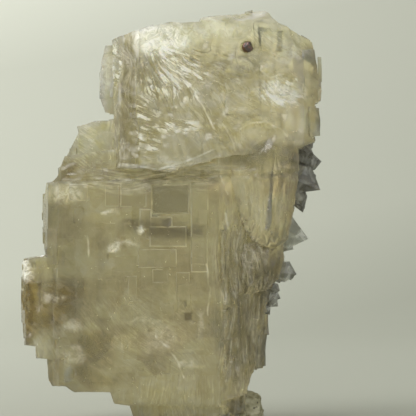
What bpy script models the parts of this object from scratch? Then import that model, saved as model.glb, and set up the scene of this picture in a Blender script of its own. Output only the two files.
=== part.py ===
# Calcite specimen: blocky, stepped calcite crystals grown together, with quartz crystals along one
# side, a small dark sphalerite grain in the upper crystal and a scrap of pale matrix at the foot.
# X runs to the right, Y away from the viewer and Z up. Lengths are in millimetres until the end.

import math
import random

import bmesh
import bpy
from mathutils import Matrix, Vector

MM = 0.001

# Driving dimensions
GAP = 0.3  # clearance between pieces that touch
LOWER_FRONT = ((-31.5, -16.9), (13.3, -17.5))  # the lower block's front in plan, left end first
UPPER_FRONT = -22.0  # front face of the upper block at its foot
LEDGE_Z = 68.3  # top of the lower block
FOOT_Z = 71.6  # bottom edge of the upper block
TOP_Z = 115.6
LEFT_X = -42.1
RIGHT_X = 41.6
BASE_TOP_Z = 6.5
UPPER_LEAN = 7.0  # degrees that the upper block leans back

# Each crystal is the overlap of a front outline (x, z) and a plan (x, y). Its walls and its rim carry
# low plates, the growth steps, in the numbers given. A cut is a point and the normal of what is
# taken off.
CRYSTALS = {
    "lower block": {
        "front": [(-35.1, 67.6), (-36.3, 61.0), (-35.7, 46.8), (-34.9, 18.5), (-34.3, 12.3),
                  (-33.5, 10.9), (-29.5, 10.6), (-27.0, 9.0), (-16.9, 9.0), (-15.8, 5.9),
                  (-11.9, 5.3), (15.5, 5.0), (15.5, LEDGE_Z + 0.6), (-8.0, LEDGE_Z)],
        "plan": [(-36.3, -8.0), (-34.6, -13.5), *LOWER_FRONT, (16.5, -14.5), (16.5, 13.0),
                 (8.0, 17.6), (-24.0, 16.5), (-33.5, 11.0), (-36.3, 3.0)],
        "walls": 46, "rim": 26,
    },
    "left block": {
        "front": [(LEFT_X, 45.6), (-35.4, 46.9), (-27.0, 47.6), (-27.0, 15.5), (-34.9, 18.3),
                  (-37.9, 18.5), (-38.0, 21.7), (-41.2, 22.1)],
        "plan": [(LEFT_X, -9.5), (-40.9, -14.6), (-36.0, -15.7), (-26.0, -16.0), (-26.0, 8.0),
                 (-37.5, 9.2), (LEFT_X, 5.0)],
        "walls": 14, "rim": 14,
    },
    "shoulder": {
        "front": [(-35.2, 66.9), (-32.3, 69.2), (-30.0, 75.0), (-14.0, 77.0), (22.0, 80.0),
                  (28.0, 64.0), (-20.0, 60.0)],
        "plan": [(-35.2, -5.0), (-31.0, -11.0), (-18.0, -14.8), (22.0, -14.6), (28.0, -10.0),
                 (28.0, 12.0), (4.0, 16.0), (-26.0, 11.0), (-35.2, 2.0)],
        "walls": 16, "rim": 8,
    },
    "wedge": {
        "front": [(-26.7, 83.4), (-21.7, 84.8), (-11.0, 85.9), (-9.0, 66.0), (-33.6, 66.0),
                  (-30.1, 74.2), (-26.3, 81.6)],
        "plan": [(-33.6, -1.5), (-26.0, -8.0), (-9.0, -12.5), (-8.0, 8.0), (-24.0, 7.0),
                 (-33.6, 2.5)],
        "walls": 8, "rim": 9,
    },
    "upper block": {
        "front": [(-15.4, FOOT_Z), (-16.9, 107.5), (-11.3, 109.9), (-0.5, 112.3), (7.9, 112.4),
                  (8.6, 113.7), (18.9, 114.5), (23.4, TOP_Z), (26.2, 115.4), (30.1, 112.0),
                  (36.0, 109.2), (39.6, 107.0), (40.7, 100.2), (RIGHT_X, 93.5), (41.2, 90.2),
                  (40.2, 89.8), (39.9, 79.2), (33.7, 76.5), (16.7, 75.0), (11.3, 74.0),
                  (-0.4, 70.6), (-8.5, FOOT_Z)],
        "plan": [(-16.9, -14.0), (-14.6, -18.6), (-9.0, UPPER_FRONT), (14.0, -22.4), (37.0, -19.4),
                 (RIGHT_X, -14.0), (RIGHT_X, 4.0), (31.0, 13.5), (2.0, 15.4), (-12.0, 11.0),
                 (-16.9, 2.0)],
        "cuts": [((23.0, 14.0, 114.0), (0.15, 0.75, 0.65)), ((0.0, 15.0, 108.0), (-0.3, 0.85, 0.45)),
                 ((20.0, -20.6, 113.6), (0.05, -0.62, 0.78)), ((38.0, -16.0, 104.0), (0.8, -0.5, 0.35)),
                 ((30.0, 12.0, 78.0), (0.2, 0.8, -0.55))],
        "walls": 34, "rim": 26, "lean": UPPER_LEAN,
    },
    "sliver": {
        "front": [(-12.0, 106.2), (-18.9, 106.4), (-20.0, 101.9), (-20.6, 96.3), (-20.3, 91.0),
                  (-19.7, 89.6), (-18.9, 87.6), (-12.0, 87.0)],
        "plan": [(-20.6, -4.6), (-16.0, -7.4), (-12.0, -7.0), (-12.0, 0.4), (-18.0, -0.6),
                 (-20.6, -2.4)],
        "walls": 3, "rim": 4,
    },
    "right flank": {
        "front": [(8.0, 74.0), (33.0, 78.5), (33.6, 62.0), (31.0, 49.0), (27.9, 37.0),
                  (26.2, 31.0), (25.0, 26.5), (23.8, 22.0), (23.9, 17.4), (21.8, 12.3),
                  (20.9, 8.6), (8.0, 4.4)],
        "plan": [(8.0, -15.0), (13.0, -17.3), (19.0, -16.2), (24.0, -13.2), (29.0, -9.0),
                 (33.6, -3.0), (33.6, 8.0), (24.0, 14.6), (8.0, 17.0)],
        "walls": 20, "rim": 14,
    },
    "base": {
        "front": [(-12.2, BASE_TOP_Z), (-10.8, 2.2), (-11.3, -1.0), (18.3, -1.0), (18.9, BASE_TOP_Z)],
        "plan": [(-12.2, -12.5), (-9.0, -15.6), (13.4, -15.8), (18.9, -11.5), (18.9, 11.5),
                 (10.0, 16.0), (-8.0, 15.0), (-12.2, 9.0)],
        "walls": 9, "rim": 0,
    },
    "foot plate": {
        "front": [(13.6, 2.2), (20.4, 3.4), (20.9, 8.9), (21.2, 12.0), (12.0, 13.0)],
        "plan": [(12.0, -15.2), (20.0, -13.4), (21.2, -10.0), (21.2, 9.0), (12.0, 12.0)],
        "walls": 3, "rim": 2,
    },
    "back crystal": {
        "front": [(-22.0, 22.0), (-24.0, 49.0), (-12.0, 58.0), (9.0, 55.0), (12.0, 27.0),
                  (-4.0, 18.0)],
        "plan": [(-24.0, 10.0), (12.0, 10.0), (10.5, 20.0), (-2.0, 23.0), (-20.0, 20.6)],
        "cuts": [((-4.0, 21.0, 54.0), (0.1, 0.7, 0.7)), ((0.0, 20.0, 22.0), (0.0, 0.8, -0.6))],
        "walls": 16, "rim": 8,
    },
    "back upper crystal": {
        "front": [(3.0, 68.0), (1.0, 92.0), (14.0, 102.0), (32.0, 96.0), (33.0, 74.0), (18.0, 64.0)],
        "plan": [(1.0, 6.0), (33.0, 6.0), (31.0, 17.0), (16.0, 21.0), (4.0, 18.0)],
        "cuts": [((16.0, 20.0, 97.0), (0.1, 0.75, 0.66)), ((20.0, 19.5, 71.0), (0.1, 0.8, -0.6))],
        "walls": 12, "rim": 6,
    },
}

# Growth plates on the walls and on the rim: width, how far they stand out, the share of the face
# that they take, and how far they turn from it, in radians.
WALL_PLATES = {"wide": (2.5, 9.0), "relief": (0.15, 0.5), "share": (0.12, 0.5), "turn": 0.025}
RIM_PLATES = {"wide": (2.0, 7.0), "relief": (0.15, 0.55), "share": (0.15, 0.6), "turn": 0.035}
PLATE_FILL = 0.92  # most of one side that a plate takes
LEAST_FACE = 6.0  # no plates on a face with less room than this
PLATE_MARGIN = 0.4
INWARDS = 0.96  # a face's room is measured this share of the way out from the middle

# Growth plates on the lower block's front: left, right, bottom, top and how far each stands out. Each
# has its root this deep in the crystal, and turns in its own plane by up to so much, in radians.
FRONT_ROOT = 2.5
FRONT_TURN = 0.012
FRONT_PLATES = [
    (5.3, 13.0, 34.5, 67.7, 0.4), (-14.2, -5.4, 61.2, 67.2, 0.25), (-28.5, -14.6, 57.0, 66.8, 0.3),
    (-28.0, -22.5, 60.6, 66.2, 0.5), (-12.0, 0.4, 50.0, 55.6, 0.3), (-12.5, 4.6, 44.5, 50.4, 0.45),
    (-30.5, -14.0, 46.0, 57.5, 0.25), (-8.6, -0.9, 37.6, 43.7, 0.3), (-20.0, -9.0, 36.0, 45.2, 0.35),
    (-26.0, -6.0, 25.0, 36.6, 0.2), (-33.0, -22.0, 24.0, 34.0, 0.2), (-4.5, 12.0, 20.5, 33.0, 0.25),
    (-10.2, 13.6, 5.7, 13.7, 0.5), (-30.0, -12.0, 12.0, 22.0, 0.3), (-4.0, 8.0, 13.0, 22.4, 0.4),
]

# Upright splinters down the right flank, from the front edge to the side: the line of their feet in
# plan, how far they stray from it, the heights they reach and their sizes.
SPLINTERS = {
    "count": 26, "from": (13.5, -16.6), "run": (11.5, 12.5), "stray": (0.8, 0.5),
    "top": (34.0, 64.0), "top_falls": 14.0, "tall": (9.0, 26.0), "least_z": 10.0, "foot_rises": 6.0,
    "wide": (1.2, 2.8), "deep": (2.2, 4.0), "turn": (0.5, 0.95),
}

# Fracture ridges that fan out over the upper block's front from one corner: the corner, the first
# and the last angle in degrees, where along each ray a ridge starts and ends, its section, and how
# far it rolls, in radians.
FAN = {
    "centre": (-12.0, 113.0), "first": -28.0, "last": -78.0, "stray": 2.0, "count": 11,
    "near": (12.8, 20.0), "far": (25.5, 37.4), "width": (0.9, 2.2), "taper": 0.35, "flatten": 0.6,
    "sunk": 0.1, "roll": 0.5,
}

# Rounded overgrowths on the right: outline (x, z), front and back faces, how far the rim is set
# back, and how far in from the rim the face is full. The rim rises in the shares of LENS_RIM.
LENS_RIM = (0.42, 1.0)
LENS_POWER = 1.6
LENSES = {
    "large": {
        "outline": [(16.7, 76.4), (18.9, 80.1), (23.4, 83.2), (27.6, 83.9), (31.8, 83.0),
                    (34.9, 79.5), (35.6, 73.9), (35.1, 66.9), (33.7, 58.5), (32.2, 51.8),
                    (29.6, 49.4), (25.3, 49.6), (22.0, 52.1), (20.0, 55.7), (18.2, 61.3),
                    (16.8, 68.3)],
        "front": -20.6, "back": -4.0, "set_back": 2.6, "inset": 7.0,
    },
    "small": {
        "outline": [(19.6, 50.6), (31.0, 51.0), (31.2, 45.8), (29.9, 41.0), (26.6, 37.4),
                    (20.6, 36.2), (18.2, 42.0)],
        "front": -17.6, "back": -2.0, "set_back": 2.2, "inset": 4.0,
    },
}

# Quartz: the crust that a group stands on, as a centre and half sizes, and its crystals, each with
# its foot, tip direction, radius, prism length, point length and twist in degrees.
QUARTZ = {
    "smoky_quartz_cluster": {
        "finish": "smoky quartz", "colour": "66645a", "roughness": 0.12,
        "crust": ((33.0, -3.0, 72.0), (3.6, 5.2, 8.6)),
        "points": [
            ((33.0, -6.5, 70.8), (0.72, -0.35, -0.36), 4.6, 5.4, 5.7, 12),
            ((35.0, -6.0, 75.5), (0.66, -0.62, 0.10), 3.6, 3.4, 3.2, 40),
            ((36.4, -4.0, 77.6), (0.60, -0.40, 0.45), 2.6, 2.6, 2.3, 5),
            ((34.6, -7.0, 77.0), (0.30, -0.80, 0.30), 2.1, 4.0, 1.8, 25),
            ((37.2, -3.4, 73.4), (0.85, -0.10, 0.10), 2.5, 3.0, 2.2, 50),
            ((34.4, -6.4, 67.2), (0.30, -0.20, -0.80), 2.8, 4.8, 3.8, 15),
            ((33.5, 1.5, 73.6), (0.80, 0.45, 0.05), 3.3, 4.2, 3.0, 33),
        ],
    },
    "clear_quartz_crystal": {
        "finish": "clear quartz", "colour": "b4b8aa", "roughness": 0.06,
        "crust": ((29.2, -3.6, 52.0), (2.6, 3.4, 4.0)),
        "points": [
            ((30.4, -6.2, 53.9), (0.93, -0.22, -0.14), 5.3, 3.2, 5.4, 8),
            ((31.0, -2.2, 51.0), (0.75, 0.30, -0.45), 2.7, 2.0, 2.2, 30),
        ],
    },
    "grey_quartz_cluster": {
        "finish": "grey quartz", "colour": "8c8c80", "roughness": 0.12,
        "crust": ((26.6, -3.8, 39.0), (2.6, 3.8, 7.4)),
        "points": [
            ((29.0, -6.0, 43.2), (0.90, -0.30, -0.12), 3.3, 3.8, 2.9, 22),
            ((27.8, -5.0, 44.4), (0.60, -0.20, 0.55), 2.2, 3.2, 1.9, 3),
            ((27.2, -5.6, 38.4), (0.70, -0.45, -0.20), 1.7, 2.4, 1.7, 45),
            ((26.6, -4.6, 35.4), (0.75, -0.25, -0.50), 2.1, 2.6, 1.9, 10),
            ((25.4, -4.6, 33.4), (0.60, -0.30, -0.70), 1.5, 2.4, 1.6, 28),
            ((27.0, -1.8, 36.6), (0.85, 0.15, -0.35), 1.9, 2.4, 1.8, 52),
            ((28.0, -2.2, 41.2), (0.85, 0.30, 0.10), 2.3, 2.8, 1.9, 36),
        ],
    },
}

NARROW_CORNER = 0.88  # every other corner of a quartz prism stands in a little
TIP_ASIDE = (0.14, -0.1)  # how far a quartz tip stands off the axis, in radii

# The rough pieces: centre, size, how uneven they are, and the seed of that.
GRAIN = {"centre": (21.2, -17.6, 105.6), "radius": 1.75, "uneven": (0.86, 1.08), "seed": 5}
MATRIX = {
    "centre": (20.6, -1.5, 1.2), "half": (5.2, 9.0, 7.6), "uneven": (0.93, 1.04), "seed": 9,
    "round": 0.55,
}
GRAIN_DETAIL = 1  # subdivisions of the ball that each starts from
MATRIX_DETAIL = 3
CRUST_DETAIL = 2

# sRGB colour and roughness of the pieces that are not quartz
FINISHES = {
    "calcite": ("a79f7a", 0.35),
    "sphalerite": ("5a2f24", 0.2),
    "dolomite": ("b9b292", 0.8),
}
GROWTH_SEED = 31
MERGE = 0.001
FLOOR_CUT = 200.0  # side of the block that cuts the foot flat


def mesh_of(bm, name="shape"):
    mesh = bpy.data.meshes.new(name)
    bmesh.ops.recalc_face_normals(bm, faces=bm.faces)
    bm.to_mesh(mesh)
    bm.free()
    return mesh


def prism(outline, axis, low, high):
    """A closed prism over an outline in (x, z) run along Y, or in (x, y) run along Z."""
    bm = bmesh.new()
    if axis == "Y":
        verts = [bm.verts.new((x, low, z)) for x, z in outline]
        step = Vector((0, high - low, 0))
    else:
        verts = [bm.verts.new((x, y, low)) for x, y in outline]
        step = Vector((0, 0, high - low))
    face = bm.faces.new(verts)
    grown = bmesh.ops.extrude_face_region(bm, geom=[face])["geom"]
    moved = [v for v in grown if isinstance(v, bmesh.types.BMVert)]
    bmesh.ops.translate(bm, verts=moved, vec=step)
    return mesh_of(bm)


def combine(first, second, operation):
    """The Boolean of two meshes."""
    objects = [bpy.data.objects.new("scratch", m) for m in (first, second)]
    for o in objects:
        bpy.context.scene.collection.objects.link(o)
    modifier = objects[0].modifiers.new("join", "BOOLEAN")
    modifier.solver = "EXACT"
    modifier.operation = operation
    modifier.object = objects[1]
    graph = bpy.context.evaluated_depsgraph_get()
    graph.update()
    made = bpy.data.meshes.new_from_object(objects[0].evaluated_get(graph))
    for o in objects:
        bpy.data.objects.remove(o)
    return made


def combine_all(first, others, operation):
    """The Boolean of a mesh with each of several others in turn."""
    for other in others:
        first = combine(first, other, operation)
    return first


def cut_away(mesh, point, normal):
    """The mesh with everything past a plane taken off, and the cut closed."""
    bm = bmesh.new()
    bm.from_mesh(mesh)
    every = bm.verts[:] + bm.edges[:] + bm.faces[:]
    plane = {"plane_co": Vector(point), "plane_no": Vector(normal)}
    bmesh.ops.bisect_plane(bm, geom=every, clear_outer=True, **plane)
    bmesh.ops.holes_fill(bm, edges=[e for e in bm.edges if e.is_boundary])
    return mesh_of(bm)


def span(outline, x):
    """Where a vertical line at x enters and leaves an outline."""
    found = []
    for (xa, za), (xb, zb) in zip(outline, outline[1:] + outline[:1]):
        if (xa - x) * (xb - x) < 0:
            found.append(za + (zb - za) * (x - xa) / (xb - xa))
    return (min(found), max(found)) if found else None


def along(outline, wide, rng):
    """A random stretch of one side of an outline: its middle, its length and its direction."""
    sides = list(zip(outline, outline[1:] + outline[:1]))
    lengths = [math.dist(a, b) for a, b in sides]
    (xa, ya), (xb, yb) = rng.choices(sides, lengths)[0]
    length = math.dist((xa, ya), (xb, yb))
    wide = min(wide, length * PLATE_FILL)
    margin = wide / length / 2
    t = rng.uniform(margin, 1 - margin)
    return xa + (xb - xa) * t, ya + (yb - ya) * t, wide, math.atan2(yb - ya, xb - xa)


def block(centre, size, turn_axis, turn):
    """A box of a size about a centre, turned in its own face's plane."""
    bm = bmesh.new()
    bmesh.ops.create_cube(bm, size=1.0)
    bmesh.ops.scale(bm, verts=bm.verts, vec=size)
    bmesh.ops.rotate(bm, verts=bm.verts, cent=(0, 0, 0), matrix=Matrix.Rotation(turn, 3, turn_axis))
    bmesh.ops.translate(bm, verts=bm.verts, vec=centre)
    return mesh_of(bm)


def room_over(outline, x, reach):
    """The stretch inside an outline that is free all the way across a plate, or None."""
    spans = [span(outline, INWARDS * at) for at in (x - reach, x, x + reach)]
    if None in spans:
        return None
    low, high = max(s[0] for s in spans), min(s[1] for s in spans)
    return (low, high) if high - low > LEAST_FACE else None


def place_within(room, settings, rng):
    """A stretch of a room between two limits: its middle and its length."""
    length = (room[1] - room[0]) * rng.uniform(*settings["share"])
    reach = length / 2 + PLATE_MARGIN
    return rng.uniform(room[0] + reach, room[1] - reach), length


def plates(shape, kind, settings, rng):
    """Low plates that make the growth steps: upright ones on the walls, flat ones on the rim."""
    walls = kind == "walls"
    outline, crossing = ("plan", "front") if walls else ("front", "plan")
    made = []
    while len(made) < shape[kind]:
        x, other, wide, turn = along(shape[outline], rng.uniform(*settings["wide"]), rng)
        room = room_over(shape[crossing], x, abs(math.cos(turn)) * wide / 2)
        if room is None:
            continue
        middle, length = place_within(room, settings, rng)
        thick = 2 * rng.uniform(*settings["relief"])
        turn += rng.uniform(-settings["turn"], settings["turn"])
        if walls:
            made.append(block((x, other, middle), (wide, thick, length), "Z", turn))
        else:
            made.append(block((x, middle, other), (wide, length, thick), "Y", -turn))
    return made


def lean_back(mesh, degrees, about_z):
    """Shears a shape so that its front face tips back as it rises."""
    slope = math.tan(math.radians(degrees))
    shear = Matrix.Identity(4)
    shear[1][2] = slope
    shear[1][3] = -slope * about_z
    mesh.transform(shear)


def crystal(shape, rng):
    """One crystal: its body, with the cuts taken off, and its growth plates."""
    low = min(z for _, z in shape["front"]) - 1
    high = max(z for _, z in shape["front"]) + 1
    near = min(y for _, y in shape["plan"]) - 1
    far = max(y for _, y in shape["plan"]) + 1
    along_y = prism(shape["front"], "Y", near, far)
    body = combine(along_y, prism(shape["plan"], "Z", low, high), "INTERSECT")
    for point, normal in shape.get("cuts", []):
        body = cut_away(body, point, normal)
    made = [body] + plates(shape, "walls", WALL_PLATES, rng) + plates(shape, "rim", RIM_PLATES, rng)
    for mesh in made:
        if "lean" in shape:
            lean_back(mesh, shape["lean"], FOOT_Z)
    return made


def front_plates(rng):
    """The rectangular growth plates on the lower block's front face."""
    made = []
    (xa, ya), (xb, yb) = LOWER_FRONT
    for left, right, bottom, top, relief in FRONT_PLATES:
        middle = (left + right) / 2
        face = ya + (yb - ya) * (middle - xa) / (xb - xa)
        centre = (middle, face + (FRONT_ROOT - relief) / 2, (bottom + top) / 2)
        size = (right - left, FRONT_ROOT + relief, top - bottom)
        made.append(block(centre, size, "Y", rng.uniform(-FRONT_TURN, FRONT_TURN)))
    return made


def flank_splinters(rng):
    """Long upright splinters down the right flank, each set further back than the last."""
    made = []
    s = SPLINTERS
    for n in range(s["count"]):
        share = n / (s["count"] - 1)
        x = s["from"][0] + s["run"][0] * share + rng.uniform(-1, 1) * s["stray"][0]
        y = s["from"][1] + s["run"][1] * share + rng.uniform(-1, 1) * s["stray"][1]
        top = rng.uniform(*s["top"]) - s["top_falls"] * share
        bottom = max(top - rng.uniform(*s["tall"]), s["least_z"] + s["foot_rises"] * share)
        size = (rng.uniform(*s["wide"]), rng.uniform(*s["deep"]), top - bottom)
        made.append(block((x, y, (top + bottom) / 2), size, "Z", rng.uniform(*s["turn"])))
    return made


def fan_ridges(rng):
    """Low three-sided ridges that run out from one corner of the upper block's front."""
    made = []
    cx, cz = FAN["centre"]
    for n in range(FAN["count"]):
        share = n / (FAN["count"] - 1)
        degrees = FAN["first"] + (FAN["last"] - FAN["first"]) * share
        angle = math.radians(degrees + rng.uniform(-1, 1) * FAN["stray"])
        near = rng.uniform(*FAN["near"])
        far = rng.uniform(*FAN["far"])
        middle = (near + far) / 2
        width = rng.uniform(*FAN["width"])
        bm = bmesh.new()
        bmesh.ops.create_cone(
            bm, segments=3, radius1=width, radius2=width * FAN["taper"], depth=far - near, cap_ends=True
        )
        roll = Matrix.Rotation(math.pi + rng.uniform(-1, 1) * FAN["roll"], 3, "Z")
        turns = Matrix.Rotation(math.pi / 2 - angle, 3, "Y") @ roll
        bmesh.ops.rotate(bm, verts=bm.verts, cent=(0, 0, 0), matrix=turns)
        bmesh.ops.scale(bm, verts=bm.verts, vec=(1.0, FAN["flatten"], 1.0))
        at = (cx + math.cos(angle) * middle, UPPER_FRONT + FAN["sunk"], cz + math.sin(angle) * middle)
        bmesh.ops.translate(bm, verts=bm.verts, vec=at)
        mesh = mesh_of(bm)
        lean_back(mesh, UPPER_LEAN, FOOT_Z)
        made.append(mesh)
    return made


def lens(shape):
    """A rounded overgrowth: an outline run along Y whose front rim slopes back."""
    bm = bmesh.new()
    back = bm.faces.new([bm.verts.new((x, shape["back"], z)) for x, z in shape["outline"]])
    rim = bmesh.ops.extrude_face_region(bm, geom=[back])["geom"]
    ring = [v for v in rim if isinstance(v, bmesh.types.BMVert)]
    front = [f for f in rim if isinstance(f, bmesh.types.BMFace)][0]
    for v in ring:
        v.co.y = shape["front"] + shape["set_back"]
    for share in LENS_RIM:
        bmesh.ops.inset_region(bm, faces=[front], thickness=shape["inset"] / len(LENS_RIM))
        for v in front.verts:
            v.co.y = shape["front"] + shape["set_back"] * (1 - share) ** LENS_POWER
    return mesh_of(bm)


def quartz_point(foot, way, radius, prism_length, point_length, twist, grow=0.0):
    """A six-sided quartz crystal: a prism with a point. Grow makes it bigger all over."""
    bm = bmesh.new()
    ring = []
    r = radius + grow
    for n in range(6):
        angle = math.radians(60 * n + twist)
        reach = r * (1.0 if n % 2 else NARROW_CORNER)
        ring.append(bm.verts.new((math.cos(angle) * reach, math.sin(angle) * reach, -grow)))
    base = bm.faces.new(ring)
    grown = bmesh.ops.extrude_face_region(bm, geom=[base])["geom"]
    top = [v for v in grown if isinstance(v, bmesh.types.BMVert)]
    cap = [f for f in grown if isinstance(f, bmesh.types.BMFace)][0]
    bmesh.ops.translate(bm, verts=top, vec=(0, 0, prism_length + grow))
    poke = bmesh.ops.poke(bm, faces=[cap])["verts"][0]
    poke.co += Vector((radius * TIP_ASIDE[0], radius * TIP_ASIDE[1], point_length + grow))
    turn = Vector((0, 0, 1)).rotation_difference(Vector(way).normalized()).to_matrix()
    bmesh.ops.rotate(bm, verts=bm.verts, cent=(0, 0, 0), matrix=turn)
    bmesh.ops.translate(bm, verts=bm.verts, vec=foot)
    return mesh_of(bm)


def ball(centre, half, detail, grow):
    """A ball stretched to half sizes."""
    bm = bmesh.new()
    bmesh.ops.create_icosphere(bm, subdivisions=detail, radius=1.0)
    bmesh.ops.scale(bm, verts=bm.verts, vec=[h + grow for h in half])
    bmesh.ops.translate(bm, verts=bm.verts, vec=centre)
    return mesh_of(bm)


def quartz_group(name, grow=0.0):
    """The crust and the crystals of one group joined in one solid."""
    group = QUARTZ[name]
    points = [quartz_point(*one, grow=grow) for one in group["points"]]
    return combine_all(ball(*group["crust"], CRUST_DETAIL, grow), points, "UNION")


def grain_lump(grow=0.0):
    """The sphalerite grain: a small ball with a few flat faces."""
    rng = random.Random(GRAIN["seed"])
    bm = bmesh.new()
    bmesh.ops.create_icosphere(bm, subdivisions=GRAIN_DETAIL, radius=GRAIN["radius"] + grow)
    for v in bm.verts:
        v.co *= rng.uniform(*GRAIN["uneven"])
    bmesh.ops.translate(bm, verts=bm.verts, vec=GRAIN["centre"])
    return mesh_of(bm)


def matrix_lump(grow=0.0):
    """The scrap of pale matrix at the foot, between a ball and a block in shape, flat below."""
    rng = random.Random(MATRIX["seed"])
    bm = bmesh.new()
    bmesh.ops.create_icosphere(bm, subdivisions=MATRIX_DETAIL, radius=1.0)
    for v in bm.verts:
        to_box = 1 / max(abs(c) for c in v.co)
        v.co *= (MATRIX["round"] + (1 - MATRIX["round"]) * to_box) * rng.uniform(*MATRIX["uneven"])
    bmesh.ops.scale(bm, verts=bm.verts, vec=[h + grow for h in MATRIX["half"]])
    bmesh.ops.translate(bm, verts=bm.verts, vec=MATRIX["centre"])
    if grow:
        return mesh_of(bm)
    return cut_away(mesh_of(bm), (0, 0, 0), (0, 0, -1))


def largest_part(mesh):
    """The mesh without any loose crumb that a cut left."""
    bm = bmesh.new()
    bm.from_mesh(mesh)
    seen, groups = set(), []
    for start in bm.verts:
        if start in seen:
            continue
        group, queue = {start}, [start]
        while queue:
            for edge in queue.pop().link_edges:
                for v in edge.verts:
                    if v not in group:
                        group.add(v)
                        queue.append(v)
        seen |= group
        groups.append(group)
    keep = max(groups, key=len)
    bmesh.ops.delete(bm, geom=[v for v in bm.verts if v not in keep], context="VERTS")
    bmesh.ops.remove_doubles(bm, verts=bm.verts, dist=MERGE)
    return mesh_of(bm)


def calcite():
    """The calcite crystals as one solid, with sockets for the pieces that sit in them."""
    rng = random.Random(GROWTH_SEED)
    solids = []
    for shape in CRYSTALS.values():
        solids += crystal(shape, rng)
    solids += front_plates(rng) + flank_splinters(rng) + fan_ridges(rng)
    solids += [lens(shape) for shape in LENSES.values()]
    whole = combine_all(solids[0], solids[1:], "UNION")
    sockets = [quartz_group(name, GAP) for name in QUARTZ]
    sockets += [grain_lump(GAP), matrix_lump(GAP)]
    sockets.append(block((0, 0, -FLOOR_CUT / 2), (FLOOR_CUT, FLOOR_CUT, FLOOR_CUT), "Z", 0))
    whole = combine_all(whole, sockets, "DIFFERENCE")
    return largest_part(whole)


def finish(name, hex_colour, roughness):
    """A Principled material from an sRGB colour."""
    material = bpy.data.materials.new(name)
    material.use_nodes = True
    shader = material.node_tree.nodes["Principled BSDF"]
    levels = [int(hex_colour[n:n + 2], 16) / 255 for n in (0, 2, 4)]
    linear = [((c + 0.055) / 1.055) ** 2.4 if c > 0.04045 else c / 12.92 for c in levels]
    shader.inputs["Base Color"].default_value = (*linear, 1)
    shader.inputs["Roughness"].default_value = roughness
    shader.inputs["Metallic"].default_value = 0.0
    return material


def place(name, mesh, material, shift):
    """Adds a node in metres, its origin at the object's own."""
    mesh.transform(Matrix.Scale(MM, 4) @ Matrix.Translation(-shift))
    mesh.name = name
    mesh.materials.clear()
    mesh.materials.append(material)
    node = bpy.data.objects.new(name, mesh)
    bpy.context.scene.collection.objects.link(node)
    return node


def middle_of_foot(meshes):
    """The point under the middle of the whole object's box."""
    points = [v.co for mesh in meshes for v in mesh.vertices]
    low = [min(p[k] for p in points) for k in range(3)]
    high = [max(p[k] for p in points) for k in range(3)]
    return Vector(((low[0] + high[0]) / 2, (low[1] + high[1]) / 2, low[2]))


def build():
    for old in list(bpy.data.objects):
        bpy.data.objects.remove(old)
    pieces = {
        "calcite_crystals": (calcite(), finish("calcite", *FINISHES["calcite"])),
        "sphalerite_grain": (grain_lump(), finish("sphalerite", *FINISHES["sphalerite"])),
        "matrix_fragment": (matrix_lump(), finish("dolomite", *FINISHES["dolomite"])),
    }
    for name, group in QUARTZ.items():
        pieces[name] = (quartz_group(name), finish(group["finish"], group["colour"], group["roughness"]))
    shift = middle_of_foot([mesh for mesh, _ in pieces.values()])
    for name, (mesh, material) in pieces.items():
        place(name, mesh, material, shift)
    print("middle of the foot, mm:", [round(c, 3) for c in shift])


build()
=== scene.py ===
# Calcite specimen with quartz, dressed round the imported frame.
# Pieces are shaped in millimetres and brought to metres at the end.
import math
import random

import bmesh
import bpy
import numpy as np
from mathutils import Matrix, Vector, noise
from mathutils.bvhtree import BVHTree


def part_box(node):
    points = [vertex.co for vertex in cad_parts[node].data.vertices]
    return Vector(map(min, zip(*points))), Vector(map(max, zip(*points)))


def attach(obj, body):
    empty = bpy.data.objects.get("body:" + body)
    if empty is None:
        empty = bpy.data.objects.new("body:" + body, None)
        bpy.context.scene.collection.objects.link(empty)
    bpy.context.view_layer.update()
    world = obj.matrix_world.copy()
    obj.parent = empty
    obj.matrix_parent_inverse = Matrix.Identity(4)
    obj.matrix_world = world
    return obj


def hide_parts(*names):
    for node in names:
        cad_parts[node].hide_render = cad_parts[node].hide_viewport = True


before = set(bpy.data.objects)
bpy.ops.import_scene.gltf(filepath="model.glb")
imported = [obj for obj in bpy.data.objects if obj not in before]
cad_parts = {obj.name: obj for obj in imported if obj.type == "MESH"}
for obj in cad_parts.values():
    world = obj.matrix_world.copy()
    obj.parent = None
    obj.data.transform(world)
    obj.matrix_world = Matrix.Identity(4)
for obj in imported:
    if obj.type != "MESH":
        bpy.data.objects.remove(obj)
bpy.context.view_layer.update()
scene = bpy.context.scene
metre = 1000.0  # millimetres in one
upright = Vector((0, 0, 1))
noise.seed_set(12)  # vector noise is seeded from the clock otherwise, and no two runs are alike
print("frame loaded, nodes:", sorted(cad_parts))


# shared helpers

def fromHex(code):
    # sRGB hex to the linear values that the shaders take
    parts = [int(code[n:n + 2], 16) / 255 for n in (0, 2, 4)]
    return [((p + 0.055) / 1.055) ** 2.4 if p > 0.04045 else p / 12.92 for p in parts] + [1.0]


def solidOf(nodeName):
    # the CAD solid as one merged bmesh in millimetres
    bm = bmesh.new()
    bm.from_mesh(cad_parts[nodeName].data)
    bmesh.ops.scale(bm, vec=(metre,) * 3, verts=bm.verts)
    bmesh.ops.remove_doubles(bm, verts=bm.verts, dist=0.0005)
    return bm


def meshFrom(bm, name="shape"):
    mesh = bpy.data.meshes.new(name)
    bm.to_mesh(mesh)
    bm.free()
    return mesh


def inOrder(mesh):
    # the same faces, each begun at its first point, because a Boolean's own order varies between runs
    faces = []
    for polygon in mesh.polygons:
        corners = list(polygon.vertices)
        start = corners.index(min(corners))
        faces.append(corners[start:] + corners[:start])
    ordered = bpy.data.meshes.new("ordered")
    ordered.from_pydata([v.co for v in mesh.vertices], [], sorted(faces))
    return ordered


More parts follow.
